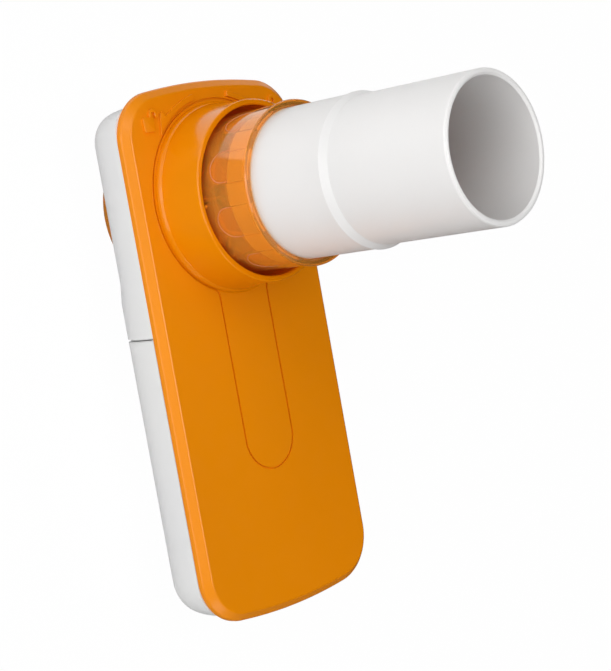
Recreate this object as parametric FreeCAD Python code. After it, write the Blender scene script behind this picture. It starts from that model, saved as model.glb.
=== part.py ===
import FreeCAD
import Part
import math
import os

# Pocket spirometer with a removable turbine flowmeter and a tubular mouthpiece, in millimetres.
# The device lies on its back: +Z points out of the front face along the turbine axis,
# +Y runs along the body towards the turbine end, and +X is its width.
# The origin is under the middle of the body, on the surface that the device lies on.

V = FreeCAD.Vector
UP = V(0, 0, 1)

# Body outline, seen from the front, and the stretches along it that aren't the battery bay
BODY_WIDTH = 49.0
END_RADIUS = 125.8
CORNER_RADIUS = 10.1
TURBINE_END_DISTANCE = 24.0
TURBINE_TO_BAY = 29.1
BAY_END_MARGIN = 6.9

# Front cover: flat front, bevelled rim and the parting line with the rear shells
FRONT_Z = 20.0
PARTING_DROP = 2.45
BEVEL_DROP = 1.41
BEVEL_INSET = 1.56
RIM_SOFTNESS = 0.7
FRONT_WALL = 1.8
TONGUE_WALL = 1.2
TONGUE_DEPTH = 1.5
LAP_CLEARANCE = 0.3

# Rear shells: hull-like section with a rounded side, and a battery bay that stands deeper
SHELL_WALL = 1.8
SIDE_SWEEP = 15.6
REAR_END_RADIUS = 90.0
TOP_RECESS = 1.3
TOP_SWEEP = 8.0
TOP_CORNER_RADIUS = 5.3
BOTTOM_RECESS = 0.8
BOTTOM_SWEEP = 4.6
BOTTOM_CORNER_RADIUS = 7.0
HULL_STEPS = 6
BACK_STEP = 1.0
TURBINE_TO_RAMP = 13.5
RAMP_LENGTH = 4.0

# Sliding battery cover
COVER_PAST_BAY = 4.05
COVER_GAP = 0.24
COVER_TOP_GAP = 0.12
EDGE_NOTCH_WIDTH = 0.36
EDGE_NOTCH_DEPTH = 0.35
LAP_LENGTH = 2.2
RAIL_DEPTH = 1.9
RAIL_HEIGHT = 0.7
RAIL_END_MARGIN = 16.5
RAIL_EDGE_MARGIN = 5.45
GRIP_COUNT = 5
GRIP_PITCH = 2.4
GRIP_WIDTH = 1.1
GRIP_LENGTH = 14.0
GRIP_DEPTH = 0.45
GRIP_END_MARGIN = 10.5
PAD_MARGIN = 12.6
PAD_CLEARANCE = 0.25

# Turbine socket in the middle of the upper body
TURBINE_RADIUS = 16.0
TURBINE_LENGTH = 42.2
TURBINE_LIP_RADIUS = 16.45
TURBINE_LIP_HEIGHT = 0.9
TURBINE_CLEARANCE = 0.25
COLLAR_TOP_Z = 31.0
COLLAR_BORE = 17.15
COLLAR_LIP_RADIUS = 18.35
COLLAR_WAIST_RADIUS = 18.55
COLLAR_SHOULDER_RADIUS = 19.0
COLLAR_FOOT_RADIUS = 19.4
SHOULDER_RISE = 1.5
SHOULDER_BULGE_RISE = 1.0
SHOULDER_BULGE_DEPTH = 0.1
LIP_ROUNDING = 0.35
BACK_HOLE_CLEARANCE = 0.4

# Keyhole groove moulded into the front face
GROOVE_RADIUS = 19.85
GROOVE_OFFSET_Y = 0.3
GROOVE_SLOT_HALF_WIDTH = 6.8
GROOVE_SLOT_LENGTH = 49.3
GROOVE_WIDTH = 0.4
GROOVE_DEPTH = 0.4
GROOVE_BLEND = 2.0

# Turbine seat with its bayonet
SEAT_OUTER_RADIUS = 18.6
SEAT_TOP_GAP = 0.8
SEAT_CLEARANCE = 0.15
FLANGE_Z = 11.1
FLANGE_THICKNESS = 1.5
CHANNEL_HEIGHT = 2.4
LUG_COUNT = 3
LUG_REACH = 0.9
LUG_HEIGHT = 1.8
LUG_ANGLE = 24.0
LUG_FIRST_ANGLE = 20.0
LUG_CLEARANCE = 0.3
LUG_SIDE_CLEARANCE = 1.5
UNLOCK_ANGLE = 50.0
GASKET_WIDTH = 1.0

# Turbine tube
MOUTH_SOCKET_RADIUS = 15.0
SOCKET_DEPTH = 6.7
AIR_BORE = 13.6
OUTLET_LEDGE_RADIUS = 12.9
OUTLET_LEDGE_HEIGHT = 4.0
POCKET_COUNT = 9
POCKET_FIRST_ANGLE = 39.5
POCKET_INNER_RADIUS = 14.5
POCKET_OUTER_RADIUS = 15.4
POCKET_WIDTH = 6.2
POCKET_DEPTH = 4.8
POCKET_TOP_GAP = 1.6
TUBE_EDGE_SOFTNESS = 0.3

# Swirlers, rotor and pivots
SWIRLER_HEIGHT = 5.5
SWIRLER_RING_WALL = 0.7
SWIRLER_FIT = 0.05
SWIRLER_HUB_RADIUS = 2.4
SWIRLER_NOSE_RISE = 1.2
SWIRLER_BLADES = 6
BLADE_THICKNESS = 0.7
BLADE_TWIST = 42.0
BLADE_STEPS = 3
BLADE_HUB_ROOT = 0.3
BLADE_RING_ROOT = 0.1
ROTOR_GAP = 1.6
VANE_HEIGHT = 6.0
VANE_TIP_GAP = 0.8
VANE_THICKNESS = 0.35
VANE_HUB_RADIUS = 0.95
VANE_HUB_EXTRA = 0.6
SHAFT_RADIUS = 0.4
SHAFT_POINT = 0.35
SHAFT_END_GAP = 0.1
PIVOT_CLEARANCE = 0.05
PIVOT_DEPTH = 1.0
CUP_RADIUS = 1.1
CUP_HEIGHT = 1.5

# Mouthpiece tube
MOUTH_END_Z = 89.4
MOUTH_RADIUS = 14.37
MOUTH_WALL = 1.25
STEP_Z = 61.4
STEP_LENGTH = 1.9
BEAD_RADIUS = 15.15
BEAD_FLAT = 0.3
BEAD_FLANK = 0.2
BORE_TAPER = 2.0
TUBE_RADIUS = 14.9
MOUTH_ROUNDING = 0.5
MOUTH_INNER_ROUNDING = 0.4
TUBE_LEAD_IN = 0.6
TUBE_LEAD_DEPTH = 0.3

# Inner frame, boards and batteries
TRAY_Z = 13.4
TRAY_THICKNESS = 1.0
TRAY_EDGE_CLEARANCE = 0.3
TRAY_PAST_BAY = 8.2
BATTERY_LENGTH = 44.5
BATTERY_RADIUS = 5.25
BATTERY_CHAMFER = 0.4
BATTERY_SPACING = 11.3
BATTERY_TOP_GAP = 0.15
BATTERY_SIDE_GAP = 0.4
NIPPLE_RADIUS = 1.9
NIPPLE_LENGTH = 1.0
SPRING_LENGTH = 3.9
SPRING_THICKNESS = 0.3
SPRING_HALF_SPAN = 4.2
SPRING_WIDTH = 4.0
SPRING_GAP = 0.05
PLATE_THICKNESS = 0.3
PLATE_HALF_HEIGHT = 3.5
PLATE_CLEARANCE = 0.1
LINK_SIDE_MARGIN = 0.6
TERMINAL_HALF_WIDTH = 4.4
TAIL_HALF_WIDTH = 1.5
TAIL_CLEARANCE = 0.2
TAIL_RISE = 0.4
BAY_WALL = 1.0
BAY_WALL_BOTTOM_Z = 5.0
RIB_WIDTH = 1.2
RIB_COUNT = 3
DIVIDER_WIDTH = 0.6
DIVIDER_RISE = 1.5
BOARD_THICKNESS = 1.0
BOARD_Z = 15.7
BOARD_SIDE_MARGIN = 5.1
BOARD_END_MARGIN = 8.0
BOARD_SENSOR_GAP = 0.1
BOARD_CORNER = 4.0
STANDOFF_RADIUS = 1.6
STANDOFF_X = 10.5
STANDOFF_END_MARGIN = 3.5

# Parts on the main board: place across and from the board's lower end, width, length, height
CHIP = (3.0, 38.5, 7.0, 7.0, 0.9)
RADIO_CARRIER = (-9.0, 16.5, 12.0, 15.0, 0.5)
RADIO_CAN = (-9.0, 14.5, 10.0, 10.0, 1.3)
CRYSTAL = (11.0, 38.5, 3.2, 1.6, 0.8)
INDUCTOR = (12.0, 13.5, 4.0, 4.0, 1.2)
FIRST_CAPACITOR = (-8.0, 27.0, 1.6, 0.8, 0.8)
CAPACITOR_COUNT = 6
CAPACITOR_PITCH = 3.2
CAN_CORNER = 0.6
INDUCTOR_CORNER = 0.8

# Screws
SCREW_RADIUS = 1.0
SCREW_HEAD_RADIUS = 2.0
SCREW_HEAD_HEIGHT = 1.4
SCREW_LENGTH = 5.0
SCREW_SLOT = 0.5
SCREW_SLOT_REACH = 1.3
SCREW_SLOT_DEPTH = 0.7
SCREW_CLEARANCE = 0.2
SCREW_TIP_GAP = 0.1
SCREW_END_MARGIN = 10.0
SCREW_BAY_MARGIN = 1.2
SCREW_SIDE_MARGIN = 7.5
SCREW_PAST_BAY = 1.2
BOSS_RADIUS = 2.6
BOSS_GAP = 0.2
BOSS_CLEARANCE = 0.3
TAB_THICKNESS = 1.2
TAB_GAP = 0.1
TAB_BAY_CLEARANCE = 0.4
TAB_MARGIN = 3.2

# Infrared pair that reads the rotor
SENSOR_X = 5.0
SENSOR_FACE = 17.7
SENSOR_WIDTH = 4.4
SENSOR_DEPTH = 1.2
SENSOR_HEIGHT = 3.2
SENSOR_CLEARANCE = 0.15
SENSOR_LENS_RADIUS = 0.8
SENSOR_LENS_RISE = 0.4
SENSOR_WINDOW_SIZE = 2.4
SENSOR_BOARD_THICKNESS = 0.7
SENSOR_BOARD_HALF_WIDTH = 8.5
SENSOR_BOARD_HEIGHT = 5.2
SENSOR_BOARD_RISE = 0.2
FLEX_END_GAP = 0.05
FLEX_SEAT_GAP = 0.2
FLEX_DROP = 0.5
FLEX_THICKNESS = 0.2
FLEX_HEIGHT = 3.0

# Values that follow from the sizes above
PARTING_Z = FRONT_Z - PARTING_DROP
FRONT_INNER_Z = FRONT_Z - FRONT_WALL
SEAT_TOP_Z = FRONT_INNER_Z - SEAT_TOP_GAP
SEAT_BOTTOM_Z = BACK_STEP + SHELL_WALL + SEAT_CLEARANCE
SOCKET_FLOOR_Z = TURBINE_LENGTH - SOCKET_DEPTH
REAR_SWIRLER_Z = OUTLET_LEDGE_HEIGHT
REAR_SWIRLER_TOP_Z = REAR_SWIRLER_Z + SWIRLER_HEIGHT
VANE_Z = REAR_SWIRLER_TOP_Z + ROTOR_GAP
VANE_TOP_Z = VANE_Z + VANE_HEIGHT
FRONT_SWIRLER_Z = VANE_TOP_Z + ROTOR_GAP
SENSOR_Z = VANE_Z + VANE_HEIGHT / 2
TRAY_TOP_Z = TRAY_Z + TRAY_THICKNESS
BATTERY_Z = TRAY_Z - BATTERY_TOP_GAP - BATTERY_RADIUS
CELL_ROOM = BATTERY_LENGTH + SPRING_LENGTH
BAY_LENGTH = CELL_ROOM + 2 * PLATE_THICKNESS
BODY_LENGTH = TURBINE_END_DISTANCE + TURBINE_TO_BAY + BAY_LENGTH + BAY_END_MARGIN
TURBINE_Y = BODY_LENGTH / 2 - TURBINE_END_DISTANCE
RAMP_END_Y = TURBINE_Y - TURBINE_TO_RAMP
RAMP_START_Y = RAMP_END_Y - RAMP_LENGTH
GROOVE_SLOT_END_Y = TURBINE_Y - GROOVE_SLOT_LENGTH
BAY_TOP_Y = TURBINE_Y - TURBINE_TO_BAY
BAY_BOTTOM_Y = BAY_TOP_Y - BAY_LENGTH
BAY_HALF_WIDTH = BATTERY_SPACING / 2 + BATTERY_RADIUS + BATTERY_SIDE_GAP
COVER_EDGE_Y = BAY_TOP_Y + COVER_PAST_BAY
TRAY_TOP_Y = BAY_TOP_Y + TRAY_PAST_BAY
BOARD_HALF_WIDTH = BODY_WIDTH / 2 - BOARD_SIDE_MARGIN
BOARD_BOTTOM_Y = BOARD_END_MARGIN - BODY_LENGTH / 2
SENSOR_BOARD_REACH = SENSOR_FACE + SENSOR_DEPTH + SENSOR_BOARD_THICKNESS
BOARD_TOP_Y = TURBINE_Y - SENSOR_BOARD_REACH - BOARD_SENSOR_GAP
SCREW_LOWER_X = BAY_HALF_WIDTH + BAY_WALL + SCREW_HEAD_RADIUS + SCREW_BAY_MARGIN
SCREW_LOWER_Y = SCREW_END_MARGIN - BODY_LENGTH / 2
SCREW_UPPER_X = BODY_WIDTH / 2 - SCREW_SIDE_MARGIN
SCREW_UPPER_Y = BAY_TOP_Y + SCREW_PAST_BAY
AXIS = V(0, TURBINE_Y, 0)

# Reach of cutting shapes past the part, sink of joined shapes into each other, and what counts as level
FAR = 200.0
SINK = 0.1
LEVEL = 0.001


def box(x, y, z):
    """A box between two places on each axis."""
    corner = V(min(x), min(y), min(z))
    return Part.makeBox(abs(x[1] - x[0]), abs(y[1] - y[0]), abs(z[1] - z[0]), corner)


def slab(y_low, y_high, z_low=-FAR, z_high=FAR):
    """A box that is wider than the body, between two places along Y."""
    return box((-FAR, FAR), (y_low, y_high), (z_low, z_high))


def both_sides(shape):
    """A shape and its mirror image across the middle of the width."""
    return [shape, shape.mirror(V(0, 0, 0), V(1, 0, 0))]


def around_axis(shape, angle):
    """A copy of a shape, turned about the turbine axis."""
    turned = shape.copy()
    turned.rotate(AXIS, UP, angle)
    return turned


def disc(radius, z_low, z_high, centre=AXIS):
    """A cylinder along Z between two heights."""
    return Part.makeCylinder(radius, z_high - z_low, V(centre.x, centre.y, z_low))


def ring(outer, inner, z_low, z_high):
    """A tube about the turbine axis."""
    return disc(outer, z_low, z_high).cut(disc(inner, z_low - 1, z_high + 1))


def sector(radius, heights, start, span):
    """A slice of a cylinder about the turbine axis, from one angle through a span."""
    low, high = heights
    wedge = Part.makeCylinder(radius, high - low, V(0, TURBINE_Y, low), UP, span)
    return around_axis(wedge, start)


def revolved(profile):
    """A solid of revolution about the turbine axis, from (radius, height) points or edges."""
    if isinstance(profile[0], tuple):
        points = [V(r, TURBINE_Y, z) for r, z in profile]
        wire = Part.makePolygon(points + points[:1])
    else:
        wire = Part.Wire(profile)
    return Part.Face(wire).revolve(AXIS, UP, 360)


def end_points(half_width, end):
    """Corner start, corner middle, corner stop and crown of one bulged end."""
    half_length, end_radius, corner = end
    centre_y = half_length - end_radius
    x = half_width - corner
    y = centre_y + math.sqrt((end_radius - corner) ** 2 - x ** 2)
    angle = math.atan2(y - centre_y, x)
    middle = (x + corner * math.cos(angle / 2), y + corner * math.sin(angle / 2))
    stop = (end_radius * math.cos(angle), centre_y + end_radius * math.sin(angle))
    return (half_width, y), middle, stop, (0.0, half_length)


def outline(half_width, top, bottom, z):
    """Closed outline of the body at one height: straight sides, round corners, bulged ends."""
    def arc(a, b, c):
        return Part.Arc(a, b, c).toShape()

    edges = []
    sides = []
    for sign, end in ((1, top), (-1, bottom)):
        start, middle, stop, crown = end_points(half_width, end)
        right = [V(x, sign * y, z) for x, y in (start, middle, stop)]
        left = [V(-x, sign * y, z) for x, y in (stop, middle, start)]
        if sign < 0:
            right, left = [V(-p.x, p.y, z) for p in right], [V(-p.x, p.y, z) for p in left]
        sides.append((right[0], left[-1]))
        edges.append(arc(*right))
        edges.append(arc(right[-1], V(0, sign * crown[1], z), left[0]))
        edges.append(arc(*left))
    edges.insert(3, Part.makeLine(sides[0][1], sides[1][0]))
    edges.append(Part.makeLine(sides[1][1], sides[0][0]))
    return Part.Wire(edges)


def front_outline(inset, z):
    """The front cover's outline, moved in by an inset."""
    end = (BODY_LENGTH / 2 - inset, END_RADIUS - inset, CORNER_RADIUS - inset)
    return outline(BODY_WIDTH / 2 - inset, end, end, z)


def rear_outline(inset, z, sweep=0.0):
    """The rear shells' outline, moved in by an inset and by a share of their section's sweep."""
    ends = []
    for recess, reach, corner in (
        (TOP_RECESS, TOP_SWEEP, TOP_CORNER_RADIUS),
        (BOTTOM_RECESS, BOTTOM_SWEEP, BOTTOM_CORNER_RADIUS),
    ):
        half_length = BODY_LENGTH / 2 - recess - inset - reach * sweep
        ends.append((half_length, REAR_END_RADIUS - inset, corner - inset))
    return outline(BODY_WIDTH / 2 - inset - SIDE_SWEEP * sweep, ends[0], ends[1], z)


def prism(wire, z_high):
    """A plate over an outline, up to a height."""
    z_low = wire.BoundBox.ZMin
    return Part.Face(wire).extrude(V(0, 0, z_high - z_low))


def rear_hull(inset, back_z):
    """The hull-like solid behind the parting line, down to a back face."""
    depth = PARTING_Z - back_z - inset
    sections = []
    for step in range(HULL_STEPS + 1):
        angle = math.radians(90.0 * step / HULL_STEPS)
        sweep = 1 - math.cos(angle)
        z = PARTING_Z - depth * math.sin(angle)
        sections.append(rear_outline(inset, z, sweep))
    return Part.makeLoft(sections, True, False)


def rear_form(inset):
    """The whole back: the deep battery half, the shallow turbine half and the ramp between."""
    deep = rear_hull(inset, 0.0)
    shallow = rear_hull(inset, BACK_STEP)
    low_wire = deep.slice(V(0, 1, 0), RAMP_START_Y)[0]
    high_wire = shallow.slice(V(0, 1, 0), RAMP_END_Y)[0]
    ramp = Part.makeLoft([low_wire, high_wire], True, True)
    lower = deep.common(slab(-BODY_LENGTH, RAMP_START_Y))
    upper = shallow.common(slab(RAMP_END_Y, BODY_LENGTH))
    return lower.fuse([ramp, upper])


def keyhole(grow, z_low, z_high):
    """The keyhole-shaped field of the front face, grown by a margin."""
    half_width = GROOVE_SLOT_HALF_WIDTH + grow
    slot = box((-half_width, half_width), (GROOVE_SLOT_END_Y, TURBINE_Y), (z_low, z_high))
    foot = disc(half_width, z_low, z_high, V(0, GROOVE_SLOT_END_Y, 0))
    centre = V(0, TURBINE_Y + GROOVE_OFFSET_Y, 0)
    field = disc(GROOVE_RADIUS + grow, z_low, z_high, centre).fuse([slot, foot]).removeSplitter()
    corners = []
    for edge in field.Edges:
        middle = edge.CenterOfMass
        upright = abs(edge.BoundBox.ZLength - (z_high - z_low)) < LEVEL
        in_corner = abs(abs(middle.x) - half_width) < LEVEL and middle.y > GROOVE_SLOT_END_Y + 1
        if upright and in_corner and middle.y < TURBINE_Y - GROOVE_RADIUS / 2:
            corners.append(edge)
    return field.makeFillet(GROOVE_BLEND + grow, corners)


def collar():
    """The flared collar round the turbine, from its shoulder on the front face to its lip."""
    def at(radius, z):
        return V(radius, TURBINE_Y, z)

    soft = LIP_ROUNDING
    turn = soft * (1 - math.cos(math.radians(45)))
    foot = at(COLLAR_FOOT_RADIUS, FRONT_Z)
    bulge = at(COLLAR_FOOT_RADIUS - SHOULDER_BULGE_DEPTH, FRONT_Z + SHOULDER_BULGE_RISE)
    shoulder = at(COLLAR_SHOULDER_RADIUS, FRONT_Z + SHOULDER_RISE)
    waist = at(COLLAR_WAIST_RADIUS, (FRONT_Z + COLLAR_TOP_Z) / 2)
    lip = at(COLLAR_LIP_RADIUS, COLLAR_TOP_Z - soft)
    lip_middle = at(COLLAR_LIP_RADIUS - turn, COLLAR_TOP_Z - turn)
    lip_top = at(COLLAR_LIP_RADIUS - soft, COLLAR_TOP_Z)
    bore_top = at(COLLAR_BORE + soft, COLLAR_TOP_Z)
    bore_middle = at(COLLAR_BORE + turn, COLLAR_TOP_Z - turn)
    bore = at(COLLAR_BORE, COLLAR_TOP_Z - soft)
    bore_foot = at(COLLAR_BORE, FRONT_INNER_Z)
    outer_foot = at(COLLAR_FOOT_RADIUS, FRONT_INNER_Z)
    edges = [
        Part.makeLine(outer_foot, foot),
        Part.Arc(foot, bulge, shoulder).toShape(),
        Part.Arc(shoulder, waist, lip).toShape(),
        Part.Arc(lip, lip_middle, lip_top).toShape(),
        Part.makeLine(lip_top, bore_top),
        Part.Arc(bore_top, bore_middle, bore).toShape(),
        Part.makeLine(bore, bore_foot),
        Part.makeLine(bore_foot, outer_foot),
    ]
    return revolved(edges)


def screw_places():
    """Centre and head height of each case screw."""
    places = []
    for side in (-1, 1):
        places.append((V(side * SCREW_LOWER_X, SCREW_LOWER_Y, 0), TRAY_Z))
        places.append((V(side * SCREW_UPPER_X, SCREW_UPPER_Y, 0), TRAY_Z - TAB_GAP - TAB_THICKNESS))
    return places


def front_cover():
    """Front moulding: bevelled plate, collar, keyhole groove, locating tongue and screw bosses."""
    wall = prism(front_outline(0, PARTING_Z), FRONT_Z - BEVEL_DROP)
    lower = front_outline(0, FRONT_Z - BEVEL_DROP)
    upper = front_outline(BEVEL_INSET, FRONT_Z)
    shell = wall.fuse(Part.makeLoft([lower, upper], True, True)).removeSplitter()
    rims = []
    for edge in shell.Edges:
        flat = edge.BoundBox.ZLength < LEVEL
        if flat and edge.BoundBox.ZMin > PARTING_Z + SINK:
            rims.append(edge)
    shell = shell.makeFillet(RIM_SOFTNESS, rims)
    shell = shell.cut(prism(front_outline(FRONT_WALL, PARTING_Z - 1), FRONT_INNER_Z))
    tongue_outer = SHELL_WALL + LAP_CLEARANCE
    tongue_z = PARTING_Z - TONGUE_DEPTH
    tongue = prism(rear_outline(tongue_outer, tongue_z), FRONT_INNER_Z + SINK)
    tongue = tongue.cut(prism(rear_outline(tongue_outer + TONGUE_WALL, tongue_z - 1), FRONT_Z))
    pieces = [tongue, collar()]
    holes = [disc(COLLAR_BORE, PARTING_Z - 1, FRONT_Z + SINK)]
    for centre, head_z in screw_places():
        pieces.append(disc(BOSS_RADIUS, TRAY_TOP_Z + BOSS_GAP, FRONT_INNER_Z + SINK, centre))
        tip_z = head_z + SCREW_LENGTH
        holes.append(disc(SCREW_RADIUS, TRAY_TOP_Z, tip_z + SCREW_TIP_GAP, centre))
    half = GROOVE_WIDTH / 2
    groove = keyhole(half, FRONT_Z - GROOVE_DEPTH, FRONT_Z + 1)
    groove = groove.cut(keyhole(-half, FRONT_Z - 2, FRONT_Z + 2))
    return shell.fuse(pieces).cut(holes).cut(groove)


def edge_notch():
    """The fine groove where the battery cover meets the rear shell."""
    skin = rear_hull(0, 0.0).cut(rear_hull(EDGE_NOTCH_DEPTH, 0.0))
    half = EDGE_NOTCH_WIDTH / 2 + COVER_GAP / 2
    return skin.common(slab(COVER_EDGE_Y - half, COVER_EDGE_Y + half))


def rear_shell(form, cavity, notch):
    """Upper rear moulding with the turbine hole, the lap under the battery cover and two tabs."""
    start_y = COVER_EDGE_Y + COVER_GAP / 2
    shell = form.cut(cavity).common(slab(start_y, BODY_LENGTH))
    lap_outer = SHELL_WALL + LAP_CLEARANCE
    lap_inner = lap_outer + TONGUE_WALL
    tongue_z = PARTING_Z - TONGUE_DEPTH - LAP_CLEARANCE
    lap = rear_hull(lap_outer, 0.0).cut(rear_hull(lap_inner, 0.0))
    lap = lap.common(slab(start_y - LAP_LENGTH, start_y + SINK, -1, tongue_z))
    root = rear_hull(SHELL_WALL - SINK, 0.0).cut(rear_hull(lap_inner, 0.0))
    root = root.common(slab(start_y, start_y + LAP_LENGTH, -1, tongue_z))
    tab_top = TRAY_Z - TAB_GAP
    tab_x = BAY_HALF_WIDTH + BAY_WALL + TAB_BAY_CLEARANCE
    tab_y = (SCREW_UPPER_Y - TAB_MARGIN, start_y + LAP_LENGTH)
    tab = box((tab_x, BODY_WIDTH), tab_y, (tab_top - TAB_THICKNESS, tab_top))
    tab = tab.common(rear_hull(lap_outer, 0.0))
    tabs = both_sides(tab)
    holes = [disc(TURBINE_RADIUS + BACK_HOLE_CLEARANCE, -1, FLANGE_Z)]
    for centre, _ in screw_places():
        holes.append(disc(SCREW_RADIUS + SCREW_CLEARANCE, tab_top - 2 * TAB_THICKNESS, tab_top + 1, centre))
    return shell.fuse([lap, root] + tabs).cut(holes).cut(notch)


def battery_cover(notch):
    """Sliding lower rear moulding with side rails and thumb grooves."""
    end_y = COVER_EDGE_Y - COVER_GAP / 2
    region = slab(-BODY_LENGTH, end_y, -1, PARTING_Z - COVER_TOP_GAP)
    shell = rear_hull(0, 0.0).cut(rear_hull(SHELL_WALL, 0.0)).common(region)
    rail_z = TRAY_TOP_Z + TRAY_EDGE_CLEARANCE
    rail_inner = SHELL_WALL + RAIL_DEPTH
    rail = rear_hull(SHELL_WALL - SINK, 0.0).cut(rear_hull(rail_inner, 0.0))
    rail_start_y = RAIL_END_MARGIN - BODY_LENGTH / 2
    rail = rail.common(slab(rail_start_y, COVER_EDGE_Y - RAIL_EDGE_MARGIN, rail_z, rail_z + RAIL_HEIGHT))
    shell = shell.fuse(rail)
    grips = []
    for index in range(GRIP_COUNT):
        y = GRIP_END_MARGIN - BODY_LENGTH / 2 + index * GRIP_PITCH
        grips.append(box((-GRIP_LENGTH / 2, GRIP_LENGTH / 2), (y, y + GRIP_WIDTH), (-1, GRIP_DEPTH)))
    return shell.cut(grips).cut(notch)


def cover_pad():
    """Foam pad inside the battery cover, under the batteries."""
    half_width = BATTERY_SPACING / 2
    top_z = BATTERY_Z - BATTERY_RADIUS - PAD_CLEARANCE
    along = (BAY_BOTTOM_Y + PAD_MARGIN, BAY_TOP_Y - PAD_MARGIN)
    return box((-half_width, half_width), along, (SHELL_WALL, top_z))


def turbine_seat():
    """Bayonet ring inside the body that holds the turbine and the optical pairs."""
    bore = TURBINE_RADIUS + TURBINE_CLEARANCE
    channel = FLANGE_Z - CHANNEL_HEIGHT
    flange_top = FLANGE_Z + FLANGE_THICKNESS
    seat = revolved([
        (bore, SEAT_BOTTOM_Z), (SEAT_OUTER_RADIUS, SEAT_BOTTOM_Z), (SEAT_OUTER_RADIUS, SEAT_TOP_Z),
        (COLLAR_BORE, SEAT_TOP_Z), (COLLAR_BORE, flange_top), (bore, flange_top), (bore, FLANGE_Z),
        (COLLAR_BORE, FLANGE_Z), (COLLAR_BORE, channel), (bore, channel),
    ])
    half_lug = LUG_ANGLE / 2 + LUG_SIDE_CLEARANCE
    pitch = 360.0 / LUG_COUNT
    cuts = []
    stops = []
    for index in range(LUG_COUNT):
        locked = LUG_FIRST_ANGLE + index * pitch
        entry = locked + UNLOCK_ANGLE
        gate = (FLANGE_Z - SINK, flange_top + SINK)
        cuts.append(sector(COLLAR_BORE, gate, entry - half_lug, 2 * half_lug))
        start = entry + half_lug
        span = pitch - UNLOCK_ANGLE - 2 * half_lug
        stop = sector(COLLAR_BORE + SINK, (channel - SINK, FLANGE_Z + SINK), start, span)
        stops.append(stop.cut(disc(bore, 0, PARTING_Z)))
    for side in (-1, 1):
        for across in (-1, 1):
            x = across * SENSOR_X
            half = SENSOR_WIDTH / 2 + SENSOR_CLEARANCE
            y_face = TURBINE_Y + side * (SENSOR_FACE - SENSOR_CLEARANCE)
            y_out = TURBINE_Y + side * (SEAT_OUTER_RADIUS + 1)
            z_low = SENSOR_Z - SENSOR_HEIGHT / 2 - SENSOR_CLEARANCE
            cuts.append(box((x - half, x + half), (y_face, y_out), (z_low, SEAT_TOP_Z + 1)))
            half = SENSOR_WINDOW_SIZE / 2
            y_in = TURBINE_Y + side * TURBINE_RADIUS / 2
            cuts.append(box((x - half, x + half), (y_in, y_out), (SENSOR_Z - half, SENSOR_Z + half)))
    room = rear_hull(SHELL_WALL + SEAT_CLEARANCE, BACK_STEP - SEAT_CLEARANCE)
    return seat.common(room).fuse(stops).cut(cuts)


def seat_gasket():
    """Foam ring between the seat and the inside of the front cover."""
    middle = (SEAT_OUTER_RADIUS + COLLAR_BORE) / 2
    half = GASKET_WIDTH / 2
    return ring(middle + half, middle - half, SEAT_TOP_Z, FRONT_INNER_Z)


def turbine_body():
    """Clear turbine tube: mouth socket, cored wall with ribs, outlet ledge and bayonet lugs."""
    soft = TUBE_EDGE_SOFTNESS
    tube = revolved([
        (OUTLET_LEDGE_RADIUS, 0), (TURBINE_RADIUS - soft, 0), (TURBINE_RADIUS, soft),
        (TURBINE_RADIUS, TURBINE_LENGTH - TURBINE_LIP_HEIGHT),
        (TURBINE_LIP_RADIUS, TURBINE_LENGTH - soft), (TURBINE_LIP_RADIUS - soft / 2, TURBINE_LENGTH),
        (MOUTH_SOCKET_RADIUS + soft, TURBINE_LENGTH), (MOUTH_SOCKET_RADIUS, TURBINE_LENGTH - soft),
        (MOUTH_SOCKET_RADIUS, SOCKET_FLOOR_Z), (AIR_BORE, SOCKET_FLOOR_Z),
        (AIR_BORE, OUTLET_LEDGE_HEIGHT), (OUTLET_LEDGE_RADIUS, OUTLET_LEDGE_HEIGHT),
    ])
    pocket_z = SOCKET_FLOOR_Z - POCKET_DEPTH
    core = ring(POCKET_OUTER_RADIUS, POCKET_INNER_RADIUS, pocket_z, TURBINE_LENGTH - POCKET_TOP_GAP)
    half = POCKET_WIDTH / 2
    round_z = pocket_z + half
    slot = Part.makeCylinder(half, TURBINE_RADIUS, V(0, TURBINE_Y, round_z), V(1, 0, 0))
    sides = (TURBINE_Y - half, TURBINE_Y + half)
    slot = slot.fuse(box((0, TURBINE_RADIUS), sides, (round_z, TURBINE_LENGTH)))
    pocket = slot.common(core)
    pockets = []
    for index in range(POCKET_COUNT):
        pockets.append(around_axis(pocket, POCKET_FIRST_ANGLE + 360.0 * index / POCKET_COUNT))
    lug_z = FLANGE_Z - LUG_CLEARANCE - LUG_HEIGHT
    lugs = []
    for index in range(LUG_COUNT):
        start = LUG_FIRST_ANGLE + 360.0 * index / LUG_COUNT - LUG_ANGLE / 2
        lug = sector(TURBINE_RADIUS + LUG_REACH, (lug_z, lug_z + LUG_HEIGHT), start, LUG_ANGLE)
        lugs.append(lug.cut(disc(TURBINE_RADIUS - SINK, 0, TURBINE_LENGTH)))
    return tube.cut(pockets).fuse(lugs)


def blade_section(z, angle, inner, outer):
    """Outline of one swirler blade at a height, turned about the axis."""
    half = BLADE_THICKNESS / 2
    points = [V(inner, -half, z), V(outer, -half, z), V(outer, half, z), V(inner, half, z)]
    wire = Part.makePolygon(points + points[:1])
    wire.translate(AXIS)
    wire.rotate(AXIS, UP, angle)
    return wire


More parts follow.
